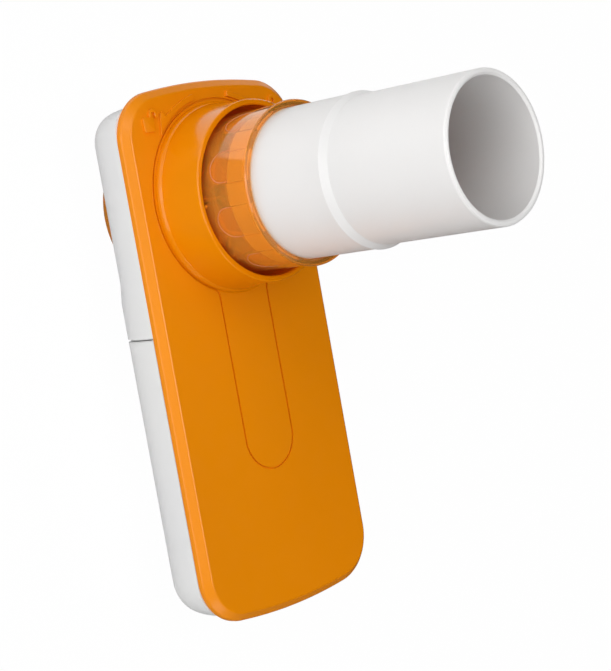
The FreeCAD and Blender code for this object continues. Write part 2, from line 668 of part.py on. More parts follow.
def swirler(z_low, towards_rotor):
    """Fixed guide wheel: hub with a rounded nose, six curved blades and an outer ring."""
    outer = AIR_BORE - SWIRLER_FIT
    inner = outer - SWIRLER_RING_WALL
    z_high = z_low + SWIRLER_HEIGHT
    roots = (SWIRLER_HUB_RADIUS - BLADE_HUB_ROOT, inner + BLADE_RING_ROOT)
    sections = []
    for step in range(BLADE_STEPS + 1):
        share = step / BLADE_STEPS
        z = z_low + share * SWIRLER_HEIGHT
        travel = share if towards_rotor > 0 else 1 - share
        angle = towards_rotor * BLADE_TWIST * travel ** 2
        sections.append(blade_section(z, angle, *roots))
    blade = Part.makeLoft(sections, True, False)
    blades = [around_axis(blade, 360.0 * index / SWIRLER_BLADES) for index in range(SWIRLER_BLADES)]
    hub = disc(SWIRLER_HUB_RADIUS, z_low, z_high)
    nose_z = z_low if towards_rotor > 0 else z_high
    nose = Part.makeSphere(SWIRLER_HUB_RADIUS, V(0, TURBINE_Y, nose_z))
    squash = FreeCAD.Matrix()
    squash.A33 = SWIRLER_NOSE_RISE / SWIRLER_HUB_RADIUS
    squash.A34 = nose_z * (1 - squash.A33)
    nose = nose.transformGeometry(squash)
    cup_z = z_high - CUP_HEIGHT if towards_rotor > 0 else z_low
    pocket = disc(CUP_RADIUS, cup_z, cup_z + CUP_HEIGHT)
    return hub.fuse([nose, ring(outer, inner, z_low, z_high)] + blades).cut(pocket)


def pivot_cup(z_low, opening):
    """Jewel cup that carries one end of the rotor shaft."""
    cup = disc(CUP_RADIUS, z_low, z_low + CUP_HEIGHT)
    hole_z = z_low + CUP_HEIGHT - PIVOT_DEPTH if opening > 0 else z_low - 1
    return cup.cut(disc(SHAFT_RADIUS + PIVOT_CLEARANCE, hole_z, hole_z + PIVOT_DEPTH + 1))


def rotor_shaft():
    """Steel needle with pointed ends, between the two pivot cups."""
    low = REAR_SWIRLER_TOP_Z - PIVOT_DEPTH + SHAFT_END_GAP
    high = FRONT_SWIRLER_Z + PIVOT_DEPTH - SHAFT_END_GAP
    tip = SHAFT_RADIUS / 3
    return revolved([
        (0, low), (tip, low), (SHAFT_RADIUS, low + SHAFT_POINT), (SHAFT_RADIUS, high - SHAFT_POINT),
        (tip, high), (0, high),
    ])


def rotor_vane():
    """Flat rotor blade on its hub tube."""
    reach = AIR_BORE - VANE_TIP_GAP
    half = VANE_THICKNESS / 2
    blade = box((-reach, reach), (TURBINE_Y - half, TURBINE_Y + half), (VANE_Z, VANE_TOP_Z))
    hub = disc(VANE_HUB_RADIUS, VANE_Z - VANE_HUB_EXTRA, VANE_TOP_Z + VANE_HUB_EXTRA)
    return blade.fuse(hub).cut(disc(SHAFT_RADIUS, VANE_Z - 2, VANE_TOP_Z + 2))


def mouthpiece():
    """Mouthpiece tube with its bead and step, a narrower mouth end and a rounded edge."""
    bead_z = STEP_Z - STEP_LENGTH
    mouth_bore = MOUTH_RADIUS - MOUTH_WALL
    corner = MOUTH_ROUNDING * (1 - math.cos(math.radians(45)))
    inner_turn = MOUTH_INNER_ROUNDING
    points = [
        (AIR_BORE, SOCKET_FLOOR_Z), (TUBE_RADIUS - TUBE_LEAD_DEPTH, SOCKET_FLOOR_Z),
        (TUBE_RADIUS, SOCKET_FLOOR_Z + TUBE_LEAD_IN),
        (TUBE_RADIUS, bead_z - BEAD_FLANK / 2), (BEAD_RADIUS, bead_z + BEAD_FLANK / 2),
        (BEAD_RADIUS, bead_z + BEAD_FLAT),
        (MOUTH_RADIUS, STEP_Z), (MOUTH_RADIUS, MOUTH_END_Z - MOUTH_ROUNDING),
        (MOUTH_RADIUS - corner, MOUTH_END_Z - corner), (MOUTH_RADIUS - MOUTH_ROUNDING, MOUTH_END_Z),
        (mouth_bore + inner_turn, MOUTH_END_Z), (mouth_bore, MOUTH_END_Z - inner_turn),
        (mouth_bore, STEP_Z + BORE_TAPER / 2), (AIR_BORE, STEP_Z - BORE_TAPER / 2),
    ]
    return revolved(points)


def battery_tray(tray_fit):
    """Inner frame between the front cover and the battery bay, with walls, cradles and standoffs."""
    plate = tray_fit.common(slab(-BODY_LENGTH, TRAY_TOP_Y, TRAY_Z, TRAY_TOP_Z))
    reach = BAY_HALF_WIDTH
    under = (BAY_WALL_BOTTOM_Z, TRAY_Z + SINK)
    top_wall = box((-reach, reach), (BAY_TOP_Y, BAY_TOP_Y + BAY_WALL), under)
    bottom_wall = box((-reach, reach), (BAY_BOTTOM_Y - BAY_WALL, BAY_BOTTOM_Y), under)
    pieces = [top_wall, bottom_wall]
    wall = box((reach, reach + BAY_WALL), (BAY_BOTTOM_Y - BAY_WALL, BAY_TOP_Y + BAY_WALL), under)
    pieces += both_sides(wall)
    half = DIVIDER_WIDTH / 2
    plate_space = PLATE_THICKNESS + PLATE_CLEARANCE
    divider_y = (BAY_BOTTOM_Y + plate_space, BAY_TOP_Y - plate_space)
    pieces.append(box((-half, half), divider_y, (BATTERY_Z + DIVIDER_RISE, TRAY_Z + SINK)))
    for index in range(RIB_COUNT):
        y = BAY_BOTTOM_Y + BAY_LENGTH * (index + 1) / (RIB_COUNT + 1)
        pieces.append(box((-reach, reach), (y, y + RIB_WIDTH), (BATTERY_Z, TRAY_Z + SINK)))
    holes = []
    foot = V(BATTERY_SPACING / 2, BAY_BOTTOM_Y, BATTERY_Z)
    cell = Part.makeCylinder(BATTERY_RADIUS + BATTERY_TOP_GAP, BAY_LENGTH, foot, V(0, 1, 0))
    holes += both_sides(cell)
    for centre, _ in screw_places():
        holes.append(disc(SCREW_RADIUS + SCREW_CLEARANCE, TRAY_Z - 1, TRAY_TOP_Z + 1, centre))
    for x, y in standoff_places():
        pieces.append(disc(STANDOFF_RADIUS, TRAY_TOP_Z - SINK, BOARD_Z, V(x, y, 0)))
    holes += tail_slots(TRAY_Z, TRAY_TOP_Z)
    return plate.fuse(pieces).cut(holes)


def tail_slots(z_low, z_high):
    """Slots that the two terminals' tails pass through."""
    half = TAIL_HALF_WIDTH + TAIL_CLEARANCE
    along = (BAY_TOP_Y - PLATE_THICKNESS - TAIL_CLEARANCE, BAY_TOP_Y + TAIL_CLEARANCE)
    middle = BATTERY_SPACING / 2
    return both_sides(box((middle - half, middle + half), along, (z_low - 1, z_high + 1)))


def standoff_places():
    """Places of the posts that carry the main board."""
    low_y = BOARD_BOTTOM_Y + STANDOFF_END_MARGIN
    high_y = TRAY_TOP_Y - STANDOFF_END_MARGIN
    return [(side * STANDOFF_X, y) for side in (-1, 1) for y in (low_y, high_y)]


def main_board():
    """Main circuit board, cleared round the screw bosses."""
    top = BOARD_Z + BOARD_THICKNESS
    board = box((-BOARD_HALF_WIDTH, BOARD_HALF_WIDTH), (BOARD_BOTTOM_Y, BOARD_TOP_Y), (BOARD_Z, top))
    uprights = [edge for edge in board.Edges if edge.BoundBox.ZLength > BOARD_THICKNESS / 2]
    board = board.makeFillet(BOARD_CORNER, uprights)
    holes = tail_slots(BOARD_Z, top)
    for centre, _ in screw_places():
        holes.append(disc(BOSS_RADIUS + BOSS_CLEARANCE, BOARD_Z - 1, top + 1, centre))
    return board.cut(holes)


def on_board(sizes, rounding=0.0):
    """A component that stands on the main board."""
    x, along, width, length, height = sizes
    y = BOARD_BOTTOM_Y + along
    top = BOARD_Z + BOARD_THICKNESS
    part = box((x - width / 2, x + width / 2), (y - length / 2, y + length / 2), (top, top + height))
    if rounding:
        uprights = [edge for edge in part.Edges if edge.BoundBox.ZLength > height - LEVEL]
        part = part.makeFillet(rounding, uprights)
    return part


def radio_module():
    """Short-range radio: carrier board with a shield can and a bare antenna end."""
    return on_board(RADIO_CARRIER).fuse(on_board(RADIO_CAN, CAN_CORNER))


def board_parts():
    """Crystal, inductor and ceramic capacitors on the main board."""
    parts = [on_board(CRYSTAL), on_board(INDUCTOR, INDUCTOR_CORNER)]
    for index in range(CAPACITOR_COUNT):
        capacitor = on_board(FIRST_CAPACITOR)
        capacitor.translate(V(CAPACITOR_PITCH * index, 0, 0))
        parts.append(capacitor)
    return Part.makeCompound(parts)


def sensor_pair(side):
    """Two side-looking optical parts on one side of the seat: +1 receivers, -1 emitters."""
    parts = []
    for across in (-1, 1):
        x = across * SENSOR_X
        near = TURBINE_Y + side * SENSOR_FACE
        far = TURBINE_Y + side * (SENSOR_FACE + SENSOR_DEPTH)
        half = SENSOR_WIDTH / 2
        body = box((x - half, x + half), (near, far),
                   (SENSOR_Z - SENSOR_HEIGHT / 2, SENSOR_Z + SENSOR_HEIGHT / 2))
        centre_y = near + side * (SENSOR_LENS_RADIUS - SENSOR_LENS_RISE)
        parts.append(body.fuse(Part.makeSphere(SENSOR_LENS_RADIUS, V(x, centre_y, SENSOR_Z))))
    return Part.makeCompound(parts)


def sensor_board(side):
    """Upright circuit board behind one optical pair."""
    near = TURBINE_Y + side * (SENSOR_FACE + SENSOR_DEPTH)
    far = TURBINE_Y + side * SENSOR_BOARD_REACH
    z_high = BOARD_Z + SENSOR_BOARD_RISE
    reach = SENSOR_BOARD_HALF_WIDTH
    return box((-reach, reach), (near, far), (z_high - SENSOR_BOARD_HEIGHT, z_high))


def flex_cable():
    """Flat cable that wraps round the seat and runs straight to the ends of both optical boards."""
    end_x = SENSOR_BOARD_HALF_WIDTH + FLEX_END_GAP
    end_y = SENSOR_FACE + SENSOR_DEPTH
    radius = SEAT_OUTER_RADIUS + FLEX_SEAT_GAP
    run = math.sqrt(end_x ** 2 + end_y ** 2 - radius ** 2)
    turn = math.atan2(end_y, end_x) - math.atan2(run, radius)
    z_low = BOARD_Z - FLEX_DROP - FLEX_HEIGHT

    def at(out, along, side):
        x = out * math.cos(turn) - along * math.sin(turn)
        y = out * math.sin(turn) + along * math.cos(turn)
        return V(-x, TURBINE_Y + side * y, z_low)

    edges = []
    for out in (radius, radius + FLEX_THICKNESS):
        bend = V(-out, TURBINE_Y, z_low)
        edges.append(Part.makeLine(at(out, run, -1), at(out, 0, -1)))
        edges.append(Part.Arc(at(out, 0, -1), bend, at(out, 0, 1)).toShape())
        edges.append(Part.makeLine(at(out, 0, 1), at(out, run, 1)))
    for side in (-1, 1):
        edges.append(Part.makeLine(at(radius, run, side), at(radius + FLEX_THICKNESS, run, side)))
    wire = Part.Wire(Part.sortEdges(edges)[0])
    return Part.Face(wire).extrude(V(0, 0, FLEX_HEIGHT))


def battery(side):
    """One cylindrical cell with its nipple: the left one points up the body, the right one down."""
    x = side * BATTERY_SPACING / 2
    low = BAY_BOTTOM_Y + PLATE_THICKNESS
    start = low + SPRING_LENGTH if side < 0 else low + NIPPLE_LENGTH
    nipple = low + SPRING_LENGTH + BATTERY_LENGTH - NIPPLE_LENGTH if side < 0 else low
    body_length = BATTERY_LENGTH - NIPPLE_LENGTH
    along = V(0, 1, 0)
    can = Part.makeCylinder(BATTERY_RADIUS, body_length, V(x, start, BATTERY_Z), along)
    can = can.makeChamfer(BATTERY_CHAMFER, [edge for edge in can.Edges if edge.Closed])
    return can.fuse(Part.makeCylinder(NIPPLE_RADIUS, NIPPLE_LENGTH, V(x, nipple, BATTERY_Z), along))


def battery_spring(side):
    """Bowed leaf spring between a cell's flat end and its contact plate."""
    rise = SPRING_LENGTH - SPRING_GAP
    radius = (SPRING_HALF_SPAN ** 2 + rise ** 2) / (2 * rise)
    x = side * BATTERY_SPACING / 2
    low = BAY_BOTTOM_Y + PLATE_THICKNESS
    foot_y = low if side < 0 else low + CELL_ROOM
    crown_y = foot_y - side * rise
    centre = V(x, crown_y + side * radius, BATTERY_Z - SPRING_WIDTH / 2)
    leaf = Part.makeCylinder(radius, SPRING_WIDTH, centre)
    leaf = leaf.cut(Part.makeCylinder(radius - SPRING_THICKNESS, SPRING_WIDTH, centre))
    keep = box((x - BATTERY_RADIUS, x + BATTERY_RADIUS), (foot_y, crown_y - side), (0, FRONT_Z))
    return leaf.common(keep)


def contact_link():
    """Plate across the bottom of the bay that joins the two cells."""
    reach = BATTERY_SPACING / 2 + BATTERY_RADIUS - LINK_SIDE_MARGIN
    along = (BAY_BOTTOM_Y, BAY_BOTTOM_Y + PLATE_THICKNESS)
    return box((-reach, reach), along, (BATTERY_Z - PLATE_HALF_HEIGHT, BATTERY_Z + PLATE_HALF_HEIGHT))


def battery_terminals():
    """Two contact plates at the top of the bay, with tails up to the main board."""
    x = BATTERY_SPACING / 2
    along = (BAY_TOP_Y - PLATE_THICKNESS, BAY_TOP_Y)
    heights = (BATTERY_Z - PLATE_HALF_HEIGHT, BATTERY_Z + PLATE_HALF_HEIGHT)
    plate = box((x - TERMINAL_HALF_WIDTH, x + TERMINAL_HALF_WIDTH), along, heights)
    tail_top = BOARD_Z + BOARD_THICKNESS + TAIL_RISE
    tail = box((x - TAIL_HALF_WIDTH, x + TAIL_HALF_WIDTH), along, (BATTERY_Z, tail_top))
    return Part.makeCompound(both_sides(plate.fuse(tail).removeSplitter()))


def case_screws():
    """Four cross-head screws that hold the shells and the inner frame."""
    screws = []
    for centre, head_z in screw_places():
        low = head_z - SCREW_HEAD_HEIGHT
        head = disc(SCREW_HEAD_RADIUS, low, head_z, centre)
        shank = disc(SCREW_RADIUS, head_z - SINK, head_z + SCREW_LENGTH, centre)
        arm = (-SCREW_SLOT_REACH, SCREW_SLOT_REACH)
        width = (-SCREW_SLOT / 2, SCREW_SLOT / 2)
        depth = (low - 1, low + SCREW_SLOT_DEPTH)
        cross = [box(arm, width, depth), box(width, arm, depth)]
        for slot in cross:
            slot.translate(centre)
        screws.append(head.fuse(shank).cut(cross))
    return Part.makeCompound(screws)


def save(name, shape):
    """Write one node's solid or group of solids."""
    shape.exportStep(os.path.join("parts", name + ".step"))


def main():
    os.makedirs("parts", exist_ok=True)
    form = rear_form(0)
    cavity = rear_form(SHELL_WALL)
    inner = SHELL_WALL + LAP_CLEARANCE + TONGUE_WALL + TRAY_EDGE_CLEARANCE
    tray_fit = rear_hull(inner, 0.0)
    notch = edge_notch()
    rear_cup_z = REAR_SWIRLER_TOP_Z - CUP_HEIGHT
    nodes = {
        "front_cover": front_cover(),
        "rear_shell": rear_shell(form, cavity, notch),
        "battery_cover": battery_cover(notch),
        "cover_pad": cover_pad(),
        "battery_tray": battery_tray(tray_fit),
        "turbine_seat": turbine_seat(),
        "seat_gasket": seat_gasket(),
        "turbine_body": turbine_body(),
        "front_swirler": swirler(FRONT_SWIRLER_Z, -1),
        "rear_swirler": swirler(REAR_SWIRLER_Z, 1),
        "front_pivot_cup": pivot_cup(FRONT_SWIRLER_Z, -1),
        "rear_pivot_cup": pivot_cup(rear_cup_z, 1),
        "rotor_shaft": rotor_shaft(),
        "rotor_vane": rotor_vane(),
        "mouthpiece": mouthpiece(),
        "main_board": main_board(),
        "processor_chip": on_board(CHIP),
        "radio_module": radio_module(),
        "board_parts": board_parts(),
        "ir_emitters": sensor_pair(-1),
        "ir_receivers": sensor_pair(1),
        "emitter_board": sensor_board(-1),
        "receiver_board": sensor_board(1),
        "flex_cable": flex_cable(),
        "battery_left": battery(-1),
        "battery_right": battery(1),
        "battery_springs": Part.makeCompound([battery_spring(-1), battery_spring(1)]),
        "contact_link": contact_link(),
        "battery_terminals": battery_terminals(),
        "case_screws": case_screws(),
    }
    for name, shape in nodes.items():
        save(name, shape)


main()
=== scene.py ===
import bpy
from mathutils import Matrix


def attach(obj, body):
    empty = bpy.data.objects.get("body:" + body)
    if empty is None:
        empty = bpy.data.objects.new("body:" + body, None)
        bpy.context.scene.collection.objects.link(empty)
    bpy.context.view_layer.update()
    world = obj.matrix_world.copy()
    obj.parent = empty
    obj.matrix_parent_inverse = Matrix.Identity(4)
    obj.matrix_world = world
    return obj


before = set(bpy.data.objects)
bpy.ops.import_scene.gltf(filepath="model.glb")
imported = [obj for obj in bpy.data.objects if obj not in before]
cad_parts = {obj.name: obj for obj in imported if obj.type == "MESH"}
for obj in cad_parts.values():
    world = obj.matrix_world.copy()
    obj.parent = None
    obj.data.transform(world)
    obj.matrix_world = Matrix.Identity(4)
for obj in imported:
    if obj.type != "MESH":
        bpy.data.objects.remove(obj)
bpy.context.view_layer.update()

import logging
import math
from dataclasses import dataclass, field
from enum import Enum
from typing import Any

import bpy
from mathutils import Matrix, Vector

LOG = logging.getLogger("spirometer")
MM = 0.001
Point = tuple[float, float]
Place = tuple[float, float, float]
Faces = list[tuple[int, ...]]
# A noise pattern's values lie nearly all between these two.
NOISE_LOW, NOISE_HIGH = 0.3, 0.7
# An outline that is drawn in keeps its corners from reaching further than the distance divided by this.
MITRE_LIMIT = 0.5


def to_linear(hex_colour: str) -> tuple[float, float, float, float]:
    """Turns an sRGB hex colour into the linear colour that the shaders work in.

    Args:
        hex_colour: six hex digits after a hash sign.

    Returns:
        Linear red, green and blue, and an alpha of 1.
    """
    channels = [int(hex_colour[i:i + 2], 16) / 255 for i in (1, 3, 5)]
    linear = [c / 12.92 if c <= 0.04045 else ((c + 0.055) / 1.055) ** 2.4 for c in channels]
    return (linear[0], linear[1], linear[2], 1.0)


def per_metre(pitch_mm: float) -> float:
    """Texture scale that puts one feature of a pattern every so many millimetres."""
    return 1000.0 / pitch_mm


def add_node(
    tree: bpy.types.NodeTree,
    kind: str,
    inputs: dict[Any, Any] | None = None,
    **settings: Any,
) -> bpy.types.Node:
    """Adds one shader node with its settings, its values and its links.

    Args:
        tree: the material's or world's node tree.
        kind: the node's class name.
        inputs: socket name or number to a value, or to the output socket that feeds it.
        settings: the node's own attributes.

    Returns:
        The new node.
    """
    node = tree.nodes.new(kind)
    for name, value in settings.items():
        setattr(node, name, value)
    for name, value in (inputs or {}).items():
        if isinstance(value, bpy.types.NodeSocket):
            tree.links.new(value, node.inputs[name])
        else:
            node.inputs[name].default_value = value
    return node


class Slot(Enum):
    """Names of material slots for the cover and the turbine; no piece here is given them."""

    COVER = "cover_plastic"
    TURBINE = "turbine_plastic"


class Body(Enum):
    """The rigid bodies that the scene's own pieces ride on."""

    HOUSING = "housing"
    TURBINE = "turbine"


@dataclass(frozen=True)
class Finish:
    """A surface finish: the material, how it was made and what the eye gets from that.

    Attributes:
        name: the real material and its process.
        colour: sRGB hex colour in plain light.
        roughness: mean roughness.
        ior: index of refraction.
        metallic: 1 for bare metal.
        specular: how strongly it mirrors, 0.5 for what the index of refraction gives.
        cloud_mm: size of the clouds in its gloss.
        gloss_spread: lowest and highest roughness in them, as shares of the mean.
    """

    name: str
    colour: str
    roughness: float
    ior: float = 1.5
    metallic: float = 0.0
    specular: float = 0.5
    cloud_mm: float = 3.0
    gloss_spread: Point = (0.92, 1.1)

    def begin(self) -> tuple[bpy.types.Material, bpy.types.Node, bpy.types.NodeSocket]:
        """Makes the material with its main shader, with faint clouds in its gloss.

        Returns:
            The material, its main shader, and the piece's own coordinates in metres.
        """
        material = bpy.data.materials.new(self.name)
        material.use_nodes = True
        tree = material.node_tree
        tree.nodes.clear()
        spot = add_node(tree, "ShaderNodeTexCoord").outputs["Object"]
        clouds = add_node(tree, "ShaderNodeTexNoise", {
            "Vector": spot, "Scale": per_metre(self.cloud_mm), "Detail": 3.0,
        })
        gloss = add_node(tree, "ShaderNodeMapRange", {
            "Value": clouds.outputs["Fac"], "From Min": NOISE_LOW, "From Max": NOISE_HIGH,
            "To Min": self.roughness * self.gloss_spread[0],
            "To Max": self.roughness * self.gloss_spread[1],
        })
        shader = add_node(tree, "ShaderNodeBsdfPrincipled", {
            "Base Color": to_linear(self.colour), "Roughness": gloss.outputs[0], "IOR": self.ior,
            "Metallic": self.metallic, "Specular IOR Level": self.specular,
        })
        add_node(tree, "ShaderNodeOutputMaterial", {"Surface": shader.outputs[0]})
        return material, shader, spot

    def make(self) -> bpy.types.Material:
        """Makes the plain finish."""
        return self.begin()[0]


@dataclass(frozen=True)
class MouldedPlastic(Finish):
    """Opaque plastic from a polished or spark-eroded mould.

    Attributes:
        flow_colour: the colour that it drifts to along the melt's flow.
        flow_mm: width of that drift.
        skin_mm: pitch of the mould's skin.
        skin_depth_mm: its depth.
    """

    flow_colour: str = "#FFFFFF"
    flow_mm: float = 30.0
    skin_mm: float = 0.6
    skin_depth_mm: float = 0.004

    def make(self) -> bpy.types.Material:
        """Makes the plastic: faint flow colour, uneven gloss and the mould's skin.

        Returns:
            The material.
        """
        material, shader, spot = self.begin()
        tree = material.node_tree
        flow = add_node(tree, "ShaderNodeTexNoise", {
            "Vector": spot, "Scale": per_metre(self.flow_mm), "Detail": 1.0,
        })
        share = add_node(tree, "ShaderNodeMapRange", {
            "Value": flow.outputs["Fac"], "From Min": NOISE_LOW, "From Max": NOISE_HIGH,
        })
        melt = add_node(tree, "ShaderNodeMix", {
            "Factor": share.outputs[0], "A": to_linear(self.colour), "B": to_linear(self.flow_colour),
        }, data_type="RGBA")
        skin = add_node(tree, "ShaderNodeTexNoise", {
            "Vector": spot, "Scale": per_metre(self.skin_mm), "Detail": 1.5,
        })
        relief = add_node(tree, "ShaderNodeBump", {
            "Height": skin.outputs["Fac"], "Distance": self.skin_depth_mm * MM,
        })
        tree.links.new(melt.outputs["Result"], shader.inputs["Base Color"])
        tree.links.new(relief.outputs[0], shader.inputs["Normal"])
        return material


@dataclass(frozen=True)
class CoverPlastic(MouldedPlastic):
    """Plastic from a tool that is satin all over and polished in the collar's circle.

    Attributes:
        polish: roughness in that circle.
        circle_middle_mm: the circle's middle.
        circle_radius_mm: its radius.
        circle_edge_mm: width of the change.
    """

    polish: float = 0.11
    circle_middle_mm: Point = (0.0, 30.5)
    circle_radius_mm: float = 19.5
    circle_edge_mm: float = 0.2

    def make(self) -> bpy.types.Material:
        """Makes the satin plastic with its polished circle.

        Returns:
            The material.
        """
        material = super().make()
        tree = material.node_tree
        shader = next(node for node in tree.nodes if node.type == "BSDF_PRINCIPLED")
        satin = shader.inputs["Roughness"].links[0].from_socket
        spot = add_node(tree, "ShaderNodeTexCoord").outputs["Object"]
        flat = add_node(tree, "ShaderNodeVectorMath", {
            0: spot, 1: (1.0, 1.0, 0.0),
        }, operation="MULTIPLY")
        middle = (self.circle_middle_mm[0] * MM, self.circle_middle_mm[1] * MM, 0.0)
        away = add_node(tree, "ShaderNodeVectorMath", {
            0: flat.outputs[0], 1: middle,
        }, operation="DISTANCE")
        outside = add_node(tree, "ShaderNodeMapRange", {
            "Value": away.outputs["Value"], "From Min": self.circle_radius_mm * MM,
            "From Max": (self.circle_radius_mm + self.circle_edge_mm) * MM,
        })
        both = add_node(tree, "ShaderNodeMix", {
            "Factor": outside.outputs[0], "A": self.polish, "B": satin,
        }, data_type="FLOAT")
        tree.links.new(both.outputs["Result"], shader.inputs["Roughness"])
        return material


@dataclass(frozen=True)
class ClearPlastic(Finish):
    """Tinted clear plastic. Light passes it to what lies behind.

    Attributes:
        clarity: share of the light that passes, the rest is milky.
        shadow_colour: what its shadow lets through.
        swirl_mm: width of the swirls that the melt left in its surface.
        swirl_depth_mm: their depth.
    """

    clarity: float = 0.6
    shadow_colour: str = "#FFE0A0"
    swirl_mm: float = 9.0
    swirl_depth_mm: float = 0.03

    def make(self) -> bpy.types.Material:
        """Makes the clear plastic, which lets shadow rays through in its own tint.

        Returns:
            The material.
        """
        material, shader, spot = self.begin()
        tree = material.node_tree
        shader.inputs["Transmission Weight"].default_value = self.clarity
        swirl = add_node(tree, "ShaderNodeTexNoise", {
            "Vector": spot, "Scale": per_metre(self.swirl_mm), "Detail": 1.0,
        })
        relief = add_node(tree, "ShaderNodeBump", {
            "Height": swirl.outputs["Fac"], "Distance": self.swirl_depth_mm * MM,
        })
        tree.links.new(relief.outputs[0], shader.inputs["Normal"])
        clear = add_node(tree, "ShaderNodeBsdfTransparent", {"Color": to_linear(self.shadow_colour)})
        path = add_node(tree, "ShaderNodeLightPath")
        mixed = add_node(tree, "ShaderNodeMixShader", {
            0: path.outputs["Is Shadow Ray"], 1: shader.outputs[0], 2: clear.outputs[0],
        })
        output = next(node for node in tree.nodes if node.type == "OUTPUT_MATERIAL")
        tree.links.new(mixed.outputs[0], output.inputs["Surface"])
        return material


@dataclass(frozen=True)
class Foam(Finish):
    """Closed-cell foam.

    Attributes:
        cell_mm: size of one cell.
        cell_depth_mm: depth of a cut cell.
    """

    cell_mm: float = 0.5
    cell_depth_mm: float = 0.12

    def make(self) -> bpy.types.Material:
        """Makes the foam: dull, with open cut cells.

        Returns:
            The material.
        """
        material, shader, spot = self.begin()
        tree = material.node_tree
        cells = add_node(tree, "ShaderNodeTexVoronoi", {
            "Vector": spot, "Scale": per_metre(self.cell_mm),
        })
        relief = add_node(tree, "ShaderNodeBump", {
            "Height": cells.outputs["Distance"], "Distance": self.cell_depth_mm * MM,
        })
        tree.links.new(relief.outputs[0], shader.inputs["Normal"])
        return material


@dataclass(frozen=True)
class RolledMetal(Finish):
    """Sheet or wire with the fine lines of rolling.

    Attributes:
        line_mm: pitch of the lines.
        line_squeeze: pattern scale along a line, where 1 is its scale across.
        line_depth_mm: depth of a line.
        shine_spread: lowest and highest roughness in the lines, as shares of the mean.
    """

    line_mm: float = 0.25
    line_squeeze: float = 0.04
    line_depth_mm: float = 0.004
    shine_spread: Point = (0.8, 1.3)

    def make(self) -> bpy.types.Material:
        """Makes the metal: long fine lines along the body and an uneven shine.

        Returns:
            The material.
        """
        material, shader, spot = self.begin()
        tree = material.node_tree
        drawn = add_node(tree, "ShaderNodeMapping", {
            "Vector": spot, "Scale": (1.0, self.line_squeeze, 1.0),
        })
        lines = add_node(tree, "ShaderNodeTexNoise", {
            "Vector": drawn.outputs[0], "Scale": per_metre(self.line_mm), "Detail": 3.0,
        })
        shine = add_node(tree, "ShaderNodeMapRange", {
            "Value": lines.outputs["Fac"], "From Min": NOISE_LOW, "From Max": NOISE_HIGH,
            "To Min": self.roughness * self.shine_spread[0],
            "To Max": self.roughness * self.shine_spread[1],
        })
        relief = add_node(tree, "ShaderNodeBump", {
            "Height": lines.outputs["Fac"], "Distance": self.line_depth_mm * MM,
        })
        tree.links.new(shine.outputs[0], shader.inputs["Roughness"])
        tree.links.new(relief.outputs[0], shader.inputs["Normal"])
        return material


@dataclass(frozen=True)
class SolderMask(Finish):
    """Circuit board under green solder mask.

    Attributes:
        track_colour: colour over the copper tracks.
        track_mm: pitch of the tracks.
        track_share: width of a track as a share of a pattern cell.
        track_depth_mm: how far a track stands proud.
    """

    track_colour: str = "#2E7A45"
    track_mm: float = 1.6
    track_share: float = 0.06
    track_depth_mm: float = 0.02

    def make(self) -> bpy.types.Material:
        """Makes the board: copper tracks show lighter through the mask and stand a little proud.

        Returns:
            The material.
        """
        material, shader, spot = self.begin()
        tree = material.node_tree
        tracks = add_node(tree, "ShaderNodeTexBrick", {
            "Vector": spot, "Scale": per_metre(self.track_mm), "Mortar Size": self.track_share,
            "Color1": (0, 0, 0, 1), "Color2": (0, 0, 0, 1), "Mortar": (1, 1, 1, 1),
        })
        mask = add_node(tree, "ShaderNodeMix", {
            "Factor": tracks.outputs["Color"],
            "A": to_linear(self.colour), "B": to_linear(self.track_colour),
        }, data_type="RGBA")
        relief = add_node(tree, "ShaderNodeBump", {
            "Height": tracks.outputs["Color"], "Distance": self.track_depth_mm * MM,
        })
        tree.links.new(mask.outputs["Result"], shader.inputs["Base Color"])
        tree.links.new(relief.outputs[0], shader.inputs["Normal"])
        return material


# Moulded ABS: deep orange, a soft satin shine on the body and clear reflections on the polished collar.
ORANGE_ABS = CoverPlastic("orange_abs_satin_mould", "#EE8C00", 0.3, 1.53, specular=0.38,
                          flow_colour="#EC8A00", skin_mm=0.5, skin_depth_mm=0.0015)
# Moulded ABS from a fine spark-eroded tool: clean satin white, no sharp reflections.
WHITE_ABS = MouldedPlastic("white_abs_satin_mould", "#E6E6E5", 0.42, 1.53,
                           flow_colour="#E3E3E4", skin_mm=0.35, skin_depth_mm=0.004)
# Polished polycarbonate with amber dye: bright where light passes it, a milky brown in between.
AMBER_PC = ClearPlastic("amber_polycarbonate_moulded", "#FFBE52", 0.05, 1.585, clarity=0.75)
# The same polycarbonate, paler and milky: a painted highlight along the fine ridges at the pockets'
# edges.
AMBER_PAINTED_EDGE_HIGHLIGHT = ClearPlastic("amber_polycarbonate_painted_edge_highlight", "#EDAA7A", 0.25, 1.585, clarity=0.5)
# Moulded polypropylene: soft satin white, a touch warmer than the shells.
WHITE_PP = MouldedPlastic("white_polypropylene_moulded", "#F0EFEE", 0.38, 1.49,
                          flow_colour="#ECEBEA", skin_mm=0.5, skin_depth_mm=0.003)
# Moulded glass-filled nylon: nearly black and dull.
BLACK_NYLON = MouldedPlastic("black_nylon_moulded", "#37383A", 0.5, 1.53,
                             flow_colour="#323335", skin_mm=0.25, skin_depth_mm=0.01)
# Closed-cell neoprene, cut from sheet: black, dull, with open cells on its cut faces.
BLACK_FOAM = Foam("neoprene_foam_cut", "#232325", 0.8)
# Synthetic ruby, lapped and polished: deep red with a hard shine.
RUBY = Finish("ruby_polished", "#A01830", 0.05, 1.76)
# Stainless steel, rolled and ground: cool grey with fine lines.
STEEL = RolledMetal("stainless_steel_rolled", "#B9BBBE", 0.28, metallic=1.0)
# Polyester sheet, printed matt black: flat and light-stopping.
BLACK_FILM = Finish("polyester_sheet_matt_black", "#1A1A1B", 0.55, 1.57)
# Fibreglass board under solder mask: green and glossy, tracks showing through.
GREEN_BOARD = SolderMask("fibreglass_board_solder_mask", "#14552B", 0.3, 1.55)
